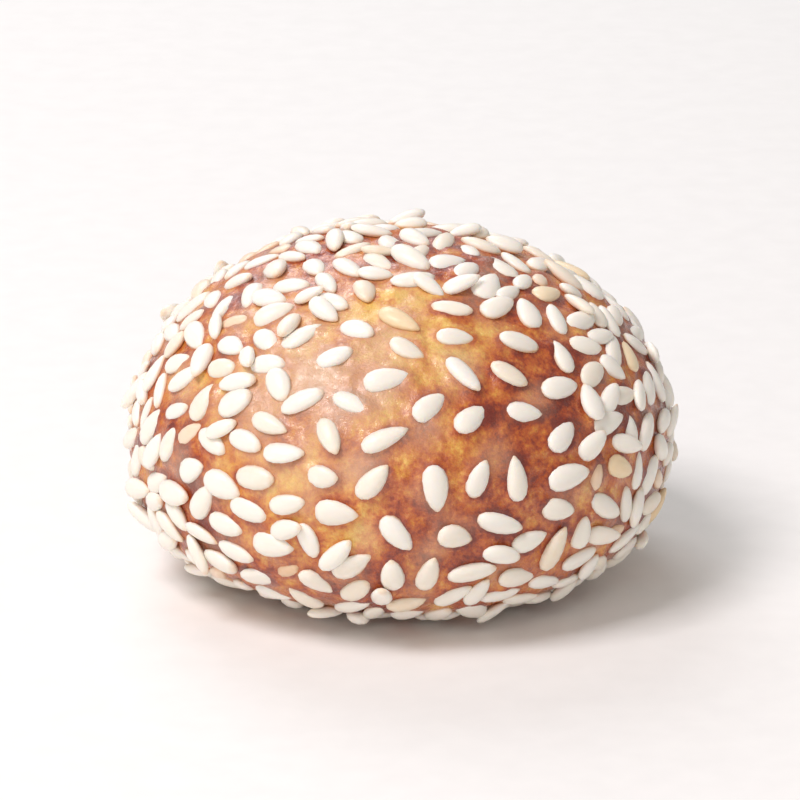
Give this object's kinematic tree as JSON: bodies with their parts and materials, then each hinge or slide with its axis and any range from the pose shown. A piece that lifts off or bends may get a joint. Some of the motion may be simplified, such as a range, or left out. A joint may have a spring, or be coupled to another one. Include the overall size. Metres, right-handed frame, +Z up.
{
  "type": "sesame ball",
  "caption": "Flattened round ball of golden brown fried dough in a coat of white sesame seeds, resting on a small flat spot.",
  "frame": {"origin": "centre of the small flat spot that the ball rests on", "axes": "+Z up, out of the crown; the ball is round about Z, and -Y faces the viewer of the picture"},
  "size_m": [0.043, 0.0431, 0.0269],
  "materials": {
    "fried_dough": "satin",
    "sesame_seed": "satin"
  },
  "bodies": {
    "root": {"sesame_ball": "fried_dough"}
  },
  "joints": []
}
